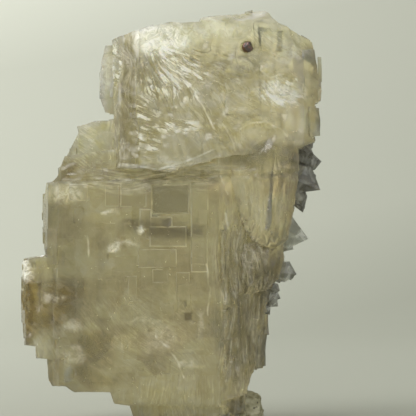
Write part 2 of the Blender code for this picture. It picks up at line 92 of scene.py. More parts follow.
def combined(first, second, operation):
    # the Boolean of two closed meshes
    pair = [bpy.data.objects.new("scratch", m) for m in (first, second)]
    for o in pair:
        scene.collection.objects.link(o)
    join = pair[0].modifiers.new("join", "BOOLEAN")
    join.solver = "MANIFOLD"
    join.operation = operation
    join.object = pair[1]
    graph = bpy.context.evaluated_depsgraph_get()
    graph.update()
    made = bpy.data.meshes.new_from_object(pair[0].evaluated_get(graph))
    for o in pair:
        bpy.data.objects.remove(o)
    return inOrder(made)


def pieceFrom(mesh, name, node, materials):
    # a finished piece: metres, origin at the frame's own, riding on the root body
    mesh.transform(Matrix.Scale(1 / metre, 4))
    mesh.name = name
    mesh.materials.clear()
    for m in materials:
        mesh.materials.append(m)
    piece = bpy.data.objects.new(name, mesh)
    scene.collection.objects.link(piece)
    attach(piece, "root")
    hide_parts(node)


def shadeCrisp(mesh, degrees):
    # smooth faces between edges sharper than the angle
    mesh.shade_smooth()
    mesh.set_sharp_from_angle(angle=math.radians(degrees))


def smoothStep(low, high, value):
    t = np.clip((value - low) / (high - low), 0, 1)
    return t * t * (3 - 2 * t)


def regionAt(p, region):
    # 1 inside a region and 0 outside, for each point; a side is an axis, then where the share is
    # nothing and where it is full, in mm
    share = np.ones(len(p))
    for axis, nothing, full in region:
        share *= smoothStep(nothing, full, p[:, "xyz".index(axis)])
    return share


def noiseAt(points, size, seed=0.0, stretch=(1, 1, 1)):
    # Blender's own noise at each point, about -1 to 1, its features about size millimetres across
    scaled = points / (size * np.array(stretch)) + seed
    return np.array([noise.noise(p) for p in scaled.tolist()])


def ridgesAt(points, size, seed=0.0, stretch=(1, 1, 1)):
    # sharp crests, 0 to 1
    return 1 - np.minimum(1, np.abs(noiseAt(points, size, seed, stretch)) * 2.2)


def warpAt(points, size, seed=0.0):
    scaled = points / size + seed
    return np.array([noise.noise_vector(p) for p in scaled.tolist()])


def getPoints(mesh):
    flat = np.empty(len(mesh.vertices) * 3)
    mesh.vertices.foreach_get("co", flat)
    return flat.reshape(-1, 3)


def setPoints(mesh, points):
    mesh.vertices.foreach_set("co", points.ravel())
    mesh.update()


def getNormals(mesh):
    flat = np.empty(len(mesh.vertices) * 3)
    mesh.vertex_normals.foreach_get("vector", flat)
    return flat.reshape(-1, 3)


# growth plates and pits on the calcite

def boxOn(point, normal, wide, high, deep, twist, flare):
    # a block centred on a face, its sides along the crystal's own upright and level directions;
    # its sides slope by a little over 45 degrees, inwards above the face (flare 1) or below it (-1)
    slope = 1.1
    along = normal.cross(upright)
    if along.length < 0.25:
        along = Vector((1, 0, 0)) - normal * normal.x
    along.normalize()
    up = normal.cross(along)
    turn = Matrix((along, up, normal)).transposed() @ Matrix.Rotation(twist, 3, "Z")
    bm = bmesh.new()
    bmesh.ops.create_cube(bm, size=1.0)
    bmesh.ops.scale(bm, vec=(wide, high, deep), verts=bm.verts)
    end = [v for v in bm.verts if v.co.z * flare > 0]
    bmesh.ops.scale(bm, vec=(1 - slope * deep / wide, 1 - slope * deep / high, 1), verts=end)
    bmesh.ops.rotate(bm, cent=(0, 0, 0), matrix=turn, verts=bm.verts)
    bmesh.ops.translate(bm, vec=point, verts=bm.verts)
    return bm


def liesFlat(tree, point, normal, along, up, wide, high, slack):
    # true if the surface under the whole block is level with its middle
    for a in (-0.5, 0, 0.5):
        for b in (-0.5, 0, 0.5):
            start = point + along * (wide * a) + up * (high * b) + normal
            hit, _, _, far = tree.ray_cast(start, -normal, 2.0)
            if hit is None or abs(far - 1.0) > slack:
                return False
    return True


def scatterBlocks(mesh, settings, rng):
    # blocks on level parts of the surface, in batches that don't meet each other
    bm = bmesh.new()
    bm.from_mesh(mesh)
    bm.normal_update()
    tree = BVHTree.FromBMesh(bm)
    faces = [f for f in bm.faces if f.normal.z > -0.9 and settings["where"](f.calc_center_median())]
    weights = [f.calc_area() for f in faces]
    picks = rng.choices(faces, weights, k=settings["tries"])
    batches = []
    count = 0
    for face in picks:
        corners = [v.co for v in face.verts]
        a, b = rng.random(), rng.random()
        if a + b > 1:
            a, b = 1 - a, 1 - b
        point = corners[0] + (corners[1] - corners[0]) * a + (corners[2] - corners[0]) * b
        normal = face.normal.copy()
        wide = rng.uniform(*settings["wide"]) * rng.choice((0.5, 1.0))
        high = wide * rng.uniform(*settings["aspect"])
        along = normal.cross(upright)
        along = along.normalized() if along.length > 0.25 else Vector((1, 0, 0))
        up = normal.cross(along)
        if count >= settings["count"] or not liesFlat(
            tree, point, normal, along, up, wide, high, settings["slack"]
        ):
            continue
        deep = 2 * rng.uniform(*settings["relief"])
        block = boxOn(point, normal, wide, high, deep, rng.uniform(-0.02, 0.02), settings["flare"])
        low = Vector([min(v.co[k] for v in block.verts) - 0.02 for k in range(3)])
        top = Vector([max(v.co[k] for v in block.verts) + 0.02 for k in range(3)])
        made = meshFrom(block)
        count += 1
        for batch in batches:
            if all(any(top[k] < l[k] or low[k] > t[k] for k in range(3)) for l, t, _ in batch):
                batch.append((low, top, made))
                break
        else:
            batches.append([(low, top, made)])
    bm.free()
    joined = []
    for batch in batches:
        whole = bmesh.new()
        for _, _, made in batch:
            whole.from_mesh(made)
        joined.append(meshFrom(whole))
    return joined, count


def relaxEdges(bm, flat=0.01, sliver=1e-4):
    # turns the edges inside flat parts, so that the triangles are better shaped
    bm.faces.index_update()
    edges = [
        e for e in bm.edges if len(e.link_faces) == 2
        and (e.calc_face_angle(9.0) < flat or min(f.calc_area() for f in e.link_faces) < sliver)
    ]
    faces = sorted({f for e in edges for f in e.link_faces}, key=lambda f: f.index)
    bmesh.ops.beautify_fill(bm, faces=faces, edges=edges, method="ANGLE")


def refine(bm, longest):
    # splits edges until none is longer than wanted at its place, the longest first
    bmesh.ops.triangulate(bm, faces=bm.faces, quad_method="BEAUTY", ngon_method="EAR_CLIP")
    relaxEdges(bm)
    for size in (16, 8, 4, 2, 1):
        for _ in range(4):
            edges = [
                e for e in bm.edges
                if e.calc_length() > size * longest((e.verts[0].co + e.verts[1].co) / 2)
            ]
            if not edges:
                break
            start = len(bm.verts)
            bmesh.ops.subdivide_edges(bm, edges=edges, cuts=1, use_single_edge=True, use_grid_fill=True)
            bm.verts.ensure_lookup_table()
            bmesh.ops.connect_verts(bm, verts=bm.verts[start:])
            many = [f for f in bm.faces if len(f.verts) > 3]
            bmesh.ops.triangulate(bm, faces=many, quad_method="SHORT_EDGE", ngon_method="EAR_CLIP")
            relaxEdges(bm)


calciteSettings = {
    "seed": 12,
    "frontY": -9.0,  # the broad front lies nearer than this
    # longest edges in mm: on the upper block's front and the flank, on the lower front, elsewhere
    "edges": ((0.85, 1.25, 2.8)),
    "crackEdge": 0.42,
    "crackNear": 1.1,  # mm round a crack that have the finest edges
    "upperZ": 72,  # the upper block is above this height, and the flank to the right of this x
    "flankX": 13,
    "plates": {
        "count": 260, "tries": 5000, "wide": (1.6, 9.0), "aspect": (0.4, 2.2), "flare": 1,
        "relief": (0.04, 0.2), "slack": 0.2, "where": lambda p: True,
    },
    "pits": {
        "count": 110, "tries": 3000, "wide": (0.9, 4.0), "aspect": (0.35, 2.4), "flare": -1,
        "relief": (0.05, 0.2), "slack": 0.1, "where": lambda p: p.z > 3,
    },
}


# growth terraces and windows on the lower block's front: left, right, bottom, top, how far each
# stands out (or goes in) in mm, and how much lighter or darker it is
calcitePanes = [
    (-28.3, -23.0, 62.4, 67.2, 0.2, 1.12), (-24.4, -14.3, 56.3, 59.6, 0.15, 1.04),
    (-18.2, -14.5, 61.0, 67.2, -0.12, 0.97), (-14.0, -6.7, 60.8, 67.5, -0.2, 0.92),
    (-5.3, 5.2, 58.8, 67.2, -0.35, 0.6), (5.6, 10.4, 42.6, 67.8, 0.25, 0.95),
    (-8.7, -5.1, 54.3, 60.3, 0.3, 0.98), (-7.0, 0.7, 51.5, 58.3, 0.35, 0.93),
    (-5.9, 4.5, 49.6, 55.4, 0.3, 0.95), (-9.2, 1.7, 43.7, 49.0, 0.2, 0.97),
    (-5.3, -0.6, 39.5, 43.4, -0.25, 0.88), (-16.0, -9.4, 42.8, 47.2, -0.14, 0.97),
    (1.4, 5.3, 34.7, 42.6, 0.2, 0.98), (-12.0, -9.6, 36.0, 41.6, 0.16, 1.03),
]


def paneBlock(left, right, bottom, top, face, relief):
    # a box behind the face (or before it, for a window), going on past it with sloping sides
    slope = 2.6 * abs(relief)  # how much narrower the far end is
    way = -1 if relief > 0 else 1
    middle = Vector(((left + right) / 2, face, (bottom + top) / 2))
    bm = bmesh.new()
    bmesh.ops.create_cube(bm, size=1.0)
    bmesh.ops.scale(bm, vec=(right - left, 1.0, top - bottom), verts=bm.verts)
    bmesh.ops.translate(bm, vec=middle - Vector((0, way * 0.5, 0)), verts=bm.verts)
    bm.normal_update()
    end = [f for f in bm.faces if f.normal.y * way > 0.5]
    grown = bmesh.ops.extrude_face_region(bm, geom=end)["geom"]
    rim = [v for v in grown if isinstance(v, bmesh.types.BMVert)]
    bmesh.ops.delete(bm, geom=end, context="FACES_ONLY")
    inwards = (1 - slope / (right - left), 1, 1 - slope / (top - bottom))
    bmesh.ops.scale(bm, vec=inwards, space=Matrix.Translation(-middle), verts=rim)
    bmesh.ops.translate(bm, vec=(0, way * abs(relief), 0), verts=rim)
    bmesh.ops.recalc_face_normals(bm, faces=bm.faces)
    return bm


def addPanes(mesh):
    # the terraces are joined on and the windows cut out one at a time, because they overlap
    for left, right, bottom, top, relief, _ in calcitePanes:
        bm = bmesh.new()
        bm.from_mesh(mesh)
        tree = BVHTree.FromBMesh(bm)
        bm.free()
        start = Vector(((left + right) / 2, -60, (bottom + top) / 2))
        face = tree.ray_cast(start, Vector((0, 1, 0)))[0].y
        block = meshFrom(paneBlock(left, right, bottom, top, face, relief))
        mesh = combined(mesh, block, "UNION" if relief > 0 else "DIFFERENCE")
    return mesh


# thin pale cracks that run over the front, as (x, z) points in mm
calciteCracks = [
    ((19.3, 82.6), (22.4, 84.2), (26.2, 84.6), (30.0, 82.9), (32.4, 80.4)),
    ((-8.4, 71.9), (-3.4, 71.2), (3.2, 73.0), (8.0, 75.0), (12.4, 76.8)),
    ((6.6, 92.0), (9.0, 88.6), (12.2, 82.4)), ((14.4, 83.8), (16.6, 80.4), (18.0, 76.6)),
    ((13.7, 69.3), (14.9, 66.8), (15.8, 64.4)), ((-14.6, 68.4), (-4.0, 68.6), (6.0, 69.0), (12.8, 69.4)),
    ((2.0, 98.4), (5.2, 95.0), (7.6, 91.2)), ((24.8, 99.0), (27.8, 97.0), (31.4, 97.8)),
    ((-23.4, 52.6), (-22.8, 47.0)), ((-4.2, 24.4), (-0.8, 21.6), (2.0, 17.4), (3.6, 13.2)),
    ((15.2, 58.8), (15.9, 54.6)), ((9.8, 44.8), (10.8, 38.0), (10.4, 30.6)), ((-1.2, 93.2), (1.4, 88.4)),
]


def crackReach(p):
    # distance in mm from each point to the nearest crack, as seen from the front
    far = 9.0
    near = np.full(len(p), far)
    flat = p[:, (0, 2)]
    for line in calciteCracks:
        for first, second in zip(line, line[1:]):
            start, run = np.array(first), np.array(second) - np.array(first)
            along = np.clip((flat - start) @ run / (run @ run), 0, 1)
            near = np.minimum(near, np.linalg.norm(flat - start - along[:, None] * run, axis=1))
    return np.where(p[:, 1] < calciteSettings["frontY"], near, far)


# the fibrous side face left of the upper block's front, in mm: its top and height, the x of its two
# edges at the top, and how far they move outwards on the way down
calciteWedge = {"top": 109, "height": 36, "edges": (-12.9, -11.0), "spread": (1.9, 2.4), "frontY": -8}


def inWedge(p):
    s = calciteWedge
    x, y, z = p.T
    down = (s["top"] - z) / s["height"]
    across = (x > s["edges"][0] - s["spread"][0] * down) & (x < s["edges"][1] + s["spread"][1] * down)
    return across & (y < s["frontY"]) & (z > s["top"] - s["height"] - 0.5)


def paneShade(mesh):
    # how much lighter or darker each point is for the terrace or window that it lies in ("shade"), how
    # cloudy it is, and where the sloping sides of steps get a painted highlight
    terraceCloud, windowCloud, wedgeCloud = 0.6, 0.3, 0.5
    wedgeShade, lipHighlightElsewhere = 0.54, 0.3
    p = getPoints(mesh)
    x, y, z = p.T
    shade = np.ones(len(p))
    cloudy = np.ones(len(p))
    front = y < -16.5
    for left, right, bottom, top, relief, lightness in calcitePanes:
        inset = 0.6 * abs(relief)
        inside = front & (x > left + inset) & (x < right - inset)
        inside &= (z > bottom + inset) & (z < top - inset)
        shade[inside] = lightness
        cloudy[inside] = terraceCloud if relief > 0 else windowCloud
    shade[inWedge(p)] = wedgeShade
    cloudy[inWedge(p)] = wedgeCloud
    addField(mesh, "cloudy", cloudy)
    # the painted highlight on step sides is full on the lower front's terraces and weaker elsewhere
    steps = front & (x > -29) & (x < 13) & (z > 33) & (z < 70)
    addField(mesh, "lips", np.where(steps, 1.0, lipHighlightElsewhere))
    return shade


def calciteShape(s):
    rng = random.Random(s["seed"])
    mesh = addPanes(meshFrom(solidOf("calcite_crystals")))
    for kind, operation in (("plates", "UNION"), ("pits", "DIFFERENCE")):
        tools, count = scatterBlocks(mesh, s[kind], rng)
        for tool in tools:
            mesh = combined(mesh, tool, operation)
        print(kind, count, "in", len(tools), "batches,", len(mesh.polygons), "faces")
    bm = bmesh.new()
    bm.from_mesh(mesh)
    fine, medium, coarse = s["edges"]
    cells = [(x, z) for x in range(-45, 45) for z in range(120)]
    places = np.array([(x + 0.5, s["frontY"] - 1, z + 0.5) for x, z in cells])
    cracked = {cell for cell, reach in zip(cells, crackReach(places)) if reach < s["crackNear"]}

    def longest(p):
        if p.y > s["frontY"]:
            return coarse
        if (math.floor(p.x), math.floor(p.z)) in cracked:
            return s["crackEdge"]
        return fine if p.z > s["upperZ"] or p.x > s["flankX"] else medium

    refine(bm, longest)
    mesh = meshFrom(bm, "calcite")
    print("calcite refined:", len(mesh.vertices), "points,", len(mesh.polygons), "faces")
    return mesh


# parts of the calcite that have relief of their own: axis, where it is nothing and where it is full
calciteRegions = {
    "whole": (),
    "upper": (("z", 73, 78),),
    "flank": (("x", 11.5, 15.5), ("z", 70, 60), ("y", 10, 4)),
    "fan": (("z", 70, 74), ("y", -11, -14)),
    "ribs": (("x", -12, -10.5), ("x", 6, -4), ("y", -11, -14), ("z", 71, 74), ("z", 93, 88)),
    "brokenRight": (("x", 2, 12), ("y", -11, -14), ("z", 73, 78)),
    "scarredBand": (("z", 66.5, 69), ("z", 74, 71), ("y", -8, -12)),
    "zonedLeft": (("x", -25, -30), ("z", 52, 48), ("y", -5, -9)),
}

# relief of growth and breakage: region, kind, size of its features in mm, seed, stretch along x, y and
# z, height in mm, and the level of the pattern that stays where it is
calciteRelief = {
    "uprightRidges": ("flank", "ridges", 1.9, 2.0, (1, 1, 9), 0.6, 0.6),
    "fineRidges": ("flank", "ridges", 0.95, 7.0, (1, 1, 6), 0.3, 0.6),
    "levelRibs": ("ribs", "ridges", 2.6, 14.0, (4, 4, 1), 0.45, 0.5),
    "brokenSwells": ("brokenRight", "ridges", 7.0, 21.0, (1, 1, 1), 0.7, 0.5),
    "brokenLumps": ("brokenRight", "noise", 3.2, 27.0, (1, 1, 1), 0.32, 0.0),
    "upperSwells": ("upper", "ridges", 5.0, 11.0, (1, 1, 1), 0.2, 0.5),
    "upperGrain": ("upper", "noise", 1.6, 5.0, (1, 1, 1), 0.049, 0.0),
    "wholeGrain": ("whole", "noise", 1.6, 5.0, (1, 1, 1), 0.021, 0.0),
    "scars": ("scarredBand", "noise", 1.5, 8.0, (2.0, 1, 0.8), 0.55, 0.0),
    "leftLumps": ("zonedLeft", "ridges", 4.0, 31.0, (1, 1, 1), 0.35, 0.6),
}

# the conchoidal break over the upper block's face runs out from its upper left corner
calciteFan = {
    "centre": (-11.8, 113.0),  # x and z, mm
    "angles": (-84, -70, -26, -12),  # degrees: nothing, full, full, nothing
    "reach": (7, 13, 40, 52),  # mm from the centre, in the same way
    "wave": (5.0, 16.0),  # its ripples: degrees across, mm along
    "height": 0.6,
}


def fanPlace(p):
    # distance in mm and angle in radians from the middle of the break
    x, z = p[:, 0] - calciteFan["centre"][0], p[:, 2] - calciteFan["centre"][1]
    return np.hypot(x, z), np.arctan2(z, x)


def fanRelief(p):
    s = calciteFan
    reach, angle = fanPlace(p)
    angle = np.degrees(angle)
    share = regionAt(p, calciteRegions["fan"])
    for value, (start, full, end, nothing) in ((angle, s["angles"]), (reach, s["reach"])):
        share *= smoothStep(start, full, value) * (1 - smoothStep(end, nothing, value))
    polar = np.stack([angle / s["wave"][0], reach / s["wave"][1], np.zeros(len(p))], 1)
    return share * (ridgesAt(polar, 1.0, 3.0) - 0.5) * s["height"]


def roughenCalcite(mesh):
    # irregularities of growth and breakage, each in its own part of the specimen
    p = getPoints(mesh)
    n = getNormals(mesh)
    sway = 0.2 + 0.3 * regionAt(p, calciteRegions["upper"])  # mm
    move = warpAt(p, 13.0, 4.0) * sway[:, None] + warpAt(p, 4.5, 9.0) * 0.1
    out = fanRelief(p)
    for region, kind, size, seed, stretch, height, level in calciteRelief.values():
        pattern = ridgesAt if kind == "ridges" else noiseAt
        out += regionAt(p, calciteRegions[region]) * (pattern(p, size, seed, stretch) - level) * height
    above = smoothStep(0.2, 3.0, p[:, 2])  # the cut foot stays flat
    p = p + (move + n * out[:, None]) * above[:, None]
    p[:, 2] = np.maximum(p[:, 2], 0)
    setPoints(mesh, p)


def addField(mesh, name, values):
    field = mesh.attributes.new(name, "FLOAT", "POINT")
    field.data.foreach_set("value", np.asarray(values, np.float32))


def zoneShare(p, middle, half, full, nothing):
    # 1 in the middle of a soft round zone and 0 outside it; full and nothing are shares of its half size
    away = np.linalg.norm((p - np.array(middle)) / np.array(half), axis=1)
    return 1 - smoothStep(full, nothing, away)


def measureCalcite(mesh):
    # how close each point is to a crest (edge) and how thin the crystal is under it (thin)
    blunt, sharp = 0.35, 1.3  # bends in radians where a crest begins and is full
    deepest, thinnest, thickest = 40.0, 2.0, 16.0  # mm
    bm = bmesh.new()
    bm.from_mesh(mesh)
    bm.normal_update()
    crest = np.zeros(len(bm.verts))
    for e in bm.edges:
        if len(e.link_faces) == 2:
            bend = e.calc_face_angle_signed(0.0)
            if bend > blunt:
                for v in e.verts:
                    crest[v.index] = max(crest[v.index], min(1.0, bend / sharp))
    ends = np.array([(e.verts[0].index, e.verts[1].index) for e in bm.edges])
    tree = BVHTree.FromBMesh(bm)
    thick = np.full(len(bm.verts), deepest)
    for v in bm.verts:
        hit, _, _, far = tree.ray_cast(v.co - v.normal * 0.05, -v.normal, deepest)
        if hit is not None:
            thick[v.index] = far
    bm.free()
    count = np.bincount(ends.ravel(), minlength=len(crest))
    for field, rounds in ((crest, 1), (thick, 6)):
        for _ in range(rounds):
            total = np.bincount(ends[:, 0], field[ends[:, 1]], len(field))
            total += np.bincount(ends[:, 1], field[ends[:, 0]], len(field))
            field[:] = 0.5 * field + 0.5 * total / np.maximum(count, 1)
    # crests and thin parts are painted paler in the material: a painted highlight on crests, a painted
    # glow on thin parts
    addField(mesh, "edge", np.clip(crest, 0, 1))
    addField(mesh, "thin", 1 - smoothStep(thinnest, thickest, thick))


# soft zones of colour inside the calcite, a few of them partly painted light and shade as marked:
# middle and half size in mm (x, y, z), hex, strength
calciteZones = {
    # the paler upper block and its top rim: partly the calcite's own tone, partly painted light from
    # above
    "upperToneAndLight": ((12, -8, 96), (60, 60, 26), "c6bd9d", 1.0),
    "topRimToneAndLight": ((10, -8, 114), (60, 60, 13), "f2ecd8", 1.0),
    "whiteVeil": ((-4, -16, 107), (8, 14, 6), "f2eee0", 0.95),
    "rightVeil": ((31, -18, 93), (8, 12, 6), "e6e0ca", 0.7),
    "upperDark": ((12, -18, 101), (8, 12, 5), "a89f80", 0.5),
    "lowerRight": ((22, -18, 88), (14, 12, 6), "cdc5aa", 0.5),
    "sidePane": ((41, -6, 98), (5, 20, 14), "a49b7c", 0.6),
    "striatedBand": ((-12.5, -16, 90), (3.2, 12, 22), "93845a", 0.6),
    "bandEdge": ((-16.2, -13, 94), (2.6, 12, 18), "ece2b8", 0.95),
    "sliver": ((-20, -6, 98), (4, 10, 14), "e6eadb", 1.0),
    "grainHalo": ((22, -18, 103), (6, 6, 5), "a3a08c", 0.6),
    "wedge": ((-24, -2, 77), (9, 14, 9), "ccc9ac", 0.9),
    # a dark band under the upper block's overhang: partly the crumbly band's own colour, partly painted
    # shade
    "shoulderBandAndShade": ((2, -16, 70.5), (22, 12, 2.6), "82785a", 0.85),
    "lensTop": ((26, -17, 82.5), (8, 8, 3), "c4bca0", 0.5),
    "lensUpper": ((26, -16, 74), (9, 12, 7), "544c2a", 0.95),
    "lensPale": ((27, -16, 61), (8, 12, 7), "a9a286", 0.7),
    "lensLower": ((25, -14, 43), (8, 14, 8), "4a4229", 1.0),
    "paleStrip": ((8, -18, 52), (3.2, 8, 20), "948c69", 0.5),
    "leftPale": ((-26, -14, 63), (7, 14, 6), "c6bc94", 0.85),
    "leftEdge": ((-36, -10, 58), (3.5, 20, 13), "8d8256", 0.8),
    "underBand": ((-20, -14, 44), (8, 10, 4), "aaa284", 0.5),
    "brownZoning": ((-32, -12, 33), (11, 14, 8.5), "5e460f", 1.0),
    "brownEdge": ((-41, -10, 36), (4, 16, 12), "745713", 1.0),
    "brownSpot": ((-20, -16, 22), (7, 8, 4.5), "6e5c2a", 0.8),
    "brownFoot": ((-22, -16, 13), (7, 8, 3), "7a6a3a", 0.7),
    "leftTop": ((-37, -10, 44), (7, 14, 4), "a99f76", 0.7),
    "leftCloud": ((-33, -12, 24), (7, 8, 4), "b5ad8c", 0.6),
    "swirlPale": ((2, -16, 20), (9, 8, 8), "aca488", 0.6),
    "flank": ((21, -8, 30), (9, 22, 26), "3d351a", 1.0),
    "foot": ((0, -12, 7), (16, 14, 9), "c8be94", 0.9),
    # a painted bluish glint
    "blueGlint": ((-4.3, -18, 57.3), (1.8, 5, 1.1), "8e989c", 0.8),
    "blueSpot": ((-28.4, -16, 12.9), (2.0, 8, 2.0), "8c97a6", 0.9),
    "blueVeil": ((37, -18, 84.5), (3.5, 8, 3), "c2cac8", 0.7),
    "footPlate": ((17, -12, 7), (6, 8, 6), "665e40", 0.9),
}
calciteBody = "a79c76"


# milky veils, which let little light through, and painted glints (fanGlints, cornerGlint) made the same
# way:
# middle and half size in mm, strength
calciteMilk = {
    "upperLeftVeil": ((-3, -18, 108), (8.5, 8, 5), 1.0),
    "fanGlints": ((2, -19, 98), (8, 6, 6), 0.35),
    "rightVeil": ((31, -19, 93), (6, 7, 4), 0.75),
    "lowerLip": ((2, -20, 73), (12, 5, 2.0), 0.4),
    "flakesLeft": ((-17, -17, 50), (3.0, 4, 1.5), 1.0),
    "flakesMiddle": ((-12, -17, 50.5), (2.6, 4, 0.9), 0.6),
    "flakesRight": ((-7.3, -17, 55), (1.5, 4, 0.9), 1.0),
    "paleLens": ((-16.5, -17, 59), (2.8, 4, 0.8), 0.6),
    "wavyMarks": ((-27, -15, 20), (5, 6, 1.8), 0.35),
    "arcCrack": ((-3, -17, 24), (5, 4, 4), 0.3),
    "cornerGlint": ((-41, -12, 43), (2.5, 7, 3), 1.0),
    "leftShoulder": ((-29, -14, 64), (6, 8, 3), 0.5),
    "swirl": ((-33, -14, 35), (5, 6, 1.4), 0.55),
    "swirlLow": ((-28, -14, 27), (4, 6, 1.4), 0.35),
    "middleVein": ((-8, -17, 29), (6, 5, 1.0), 0.35),
    "lowVein": ((4, -17, 18), (5, 5, 1.2), 0.3),
    "edgeVein": ((9, -17, 27), (1.2, 5, 5), 0.4),
    "topRight": ((33, -18, 104), (5, 7, 3), 0.3),
    "topMiddle": ((12, -18, 110), (8, 8, 2), 0.35),
    "sliver": ((-20, -8, 98), (3.5, 10, 13), 0.3),
}


# fractures seen as streaks: how they run, middle and half size in mm, how much the fibres show, and
# how much of them is open and bright, the brightness partly painted glints
calciteStreaks = {
    "fanLeft": ("fan", (0, -20, 98), (11, 9, 9), 1.0, 0.9),
    "fanRight": ("fan", (16, -20, 90), (17, 9, 16), 0.36, 0.16),
    "ribs": ("level", (-6.5, -20, 83), (4.5, 8, 9), 1.0, 0.8),
    "sweep": ("level", (2.5, -20, 83), (7, 6, 3), 1.0, 0.95),
    "rightVeil": ("cross", (31, -19, 93), (8, 8, 5), 0.9, 0.7),
    "rightTop": ("cross", (30, -18, 106), (11, 9, 6), 0.3, 0.16),
    "rightBreak": ("fan", (22, -19, 99), (8, 8, 5), 0.4, 0.25),
    "band": ("upright", (-14, -16, 90), (4.5, 12, 22), 0.8, 0.12),
    "bandTop": ("level", (-15.5, -14, 100), (1.8, 8, 9), 0.9, 0.6),
    "sliver": ("upright", (-20, -6, 97), (4, 8, 12), 0.3, 0.05),
    "flank": ("upright", (20, -10, 38), (9, 24, 34), 0.9, 0.12),
    "lens": ("upright", (27, -17, 68), (9, 12, 16), 0.28, 0.04),
    "lowerSwirl": ("swirl", (-6, -17, 24), (22, 10, 16), 0.2, 0.03),
    "leftSwirl": ("swirl", (-30, -14, 28), (12, 14, 14), 0.2, 0.05),
    "wedge": ("cross", (-24, -4, 76), (10, 14, 10), 0.35, 0.15),
    "shoulder": ("flat", (0, -16, 70), (26, 10, 3.5), 0.9, 0.2),
    "topLines": ("flat", (-8, -18, 66.5), (22, 6, 2), 0.6, 0.15),
    "foot": ("upright", (2, -14, 8), (16, 10, 8), 0.4, 0.05),
}


def streakCalcite(mesh):
    # "grain": place across and along the fractures in mm; "streaks" and "glints": how they show, the
    # glints being painted highlights on their flakes; "cracks": the thin pale lines
    p = getPoints(mesh)
    bent = p + warpAt(p, 11.0, 61.0) * 1.6
    x, y, z = bent.T
    reach, angle = fanPlace(bent)
    runs = {
        "fan": (angle * 22 + warpAt(p, 7.0, 83.0)[:, 0] * 1.5, reach * 0.2),
        "level": (z + 0.3 * x, x * 0.22),
        "flat": (z * 1.2, x * 0.08),
        "cross": (z * 0.8 + x * 0.6, x * 0.16 - z * 0.12),
        "upright": (x + 0.7 * y, z * 0.08),
        "swirl": (z * 0.75 + x * 0.66 + warpAt(p, 20.0, 77.0)[:, 0] * 5, x * 0.12 - z * 0.12),
    }
    grain = np.stack([x, z, y], 1)
    best = np.full(len(p), 0.02)
    bright = np.zeros(len(p))
    for run, middle, half, strength, glinting in calciteStreaks.values():
        share = zoneShare(bent, middle, half, 0.6, 1.2)
        more = share * strength > best
        across, along = runs[run]
        grain[more] = np.stack([across, along, y * 0.3], 1)[more]
        best[more] = (share * strength)[more]
        bright[more] = (share * glinting)[more]
    bright[inWedge(p)] = 0.0
    wander = p + warpAt(p, 2.2, 87.0) * 0.35
    faint = 0.5 + 0.5 * np.clip(noiseAt(p, 2.5, 91.0) * 2 + 0.3, -0.9, 1)
    crack = (1 - smoothStep(0.08, 0.4, crackReach(wander))) * faint
    addField(mesh, "cracks", crack)
    addField(mesh, "streaks", best)
    addField(mesh, "glints", bright)
    field = mesh.attributes.new("grain", "FLOAT_VECTOR", "POINT")
    field.data.foreach_set("vector", grain.astype(np.float32).ravel())


def milkCalcite(mesh):
    # "milk": how thick the veils are
    p = getPoints(mesh)
    bent = p + warpAt(p, 5.0, 41.0) * 2.6 + warpAt(p, 1.8, 47.0) * 0.9
    milk = np.zeros(len(p))
    for middle, half, strength in calciteMilk.values():
        milk = np.maximum(milk, zoneShare(bent, middle, half, 0.5, 1.3) * strength)
    milk[inWedge(p)] *= 0.2
    addField(mesh, "milk", milk)


def tintCalcite(mesh, shade):
    # "tone": the colour that light takes on in the crystal
    crossing = 0.58  # light crosses the skin twice, going in and coming out
    warmth, wedgeWarmth = np.array((1.06, 1.06, 0.93)), np.array((1.06, 1.0, 0.6))
    p = getPoints(mesh)
    bent = p + warpAt(p, 9.0, 21.0) * 4.5 + warpAt(p, 3.0, 33.0) * 1.2
    tone = np.tile(np.array(fromHex(calciteBody)[:3]), (len(p), 1))
    for middle, half, code, strength in calciteZones.values():
        share = zoneShare(bent, middle, half, 0.55, 1.25) * strength
        tone = tone * (1 - share[:, None]) + np.array(fromHex(code)[:3]) * share[:, None]
    tone = np.minimum(tone ** crossing * shade[:, None] * warmth, 0.97)
    tone[inWedge(p)] *= wedgeWarmth
    field = mesh.color_attributes.new("tone", "FLOAT_COLOR", "POINT")
    field.data.foreach_set("color", np.column_stack([tone, np.ones(len(p))]).astype(np.float32).ravel())


# materials

def startMaterial(name):
    material = bpy.data.materials.new(name)
    material.use_nodes = True
    tree = material.node_tree
    return material, tree, tree.nodes["Principled BSDF"]


def setInputs(tree, node, inputs):
    # inputs by name or number, each linked to another node's output or set to a value
    for key, value in inputs.items():
        if isinstance(value, bpy.types.NodeSocket):
            tree.links.new(value, node.inputs[key])
        else:
            node.inputs[key].default_value = value


def addNode(tree, kind, inputs=None, settings=None, out=0):
    # a node with its inputs and settings, of which one output is handed back; the stops of a colour
    # ramp are pairs of a place and a value or hex
    node = tree.nodes.new("ShaderNode" + kind)
    for key, value in (settings or {}).items():
        if key != "stops":
            setattr(node, key, value)
            continue
        ramp = node.color_ramp
        while len(ramp.elements) < len(value):
            ramp.elements.new(0.5)
        for element, (place, shade) in zip(ramp.elements, value):
            element.position = place
            element.color = fromHex(shade) if isinstance(shade, str) else (shade, shade, shade, 1)
    setInputs(tree, node, inputs or {})
    return node.outputs[out]


times = {"operation": "MULTIPLY"}
plus = {"operation": "ADD"}
blend = {"data_type": "RGBA", "blend_type": "MIX"}
overlay = {"data_type": "RGBA", "blend_type": "OVERLAY"}
shift = {"data_type": "RGBA", "blend_type": "LINEAR_LIGHT"}

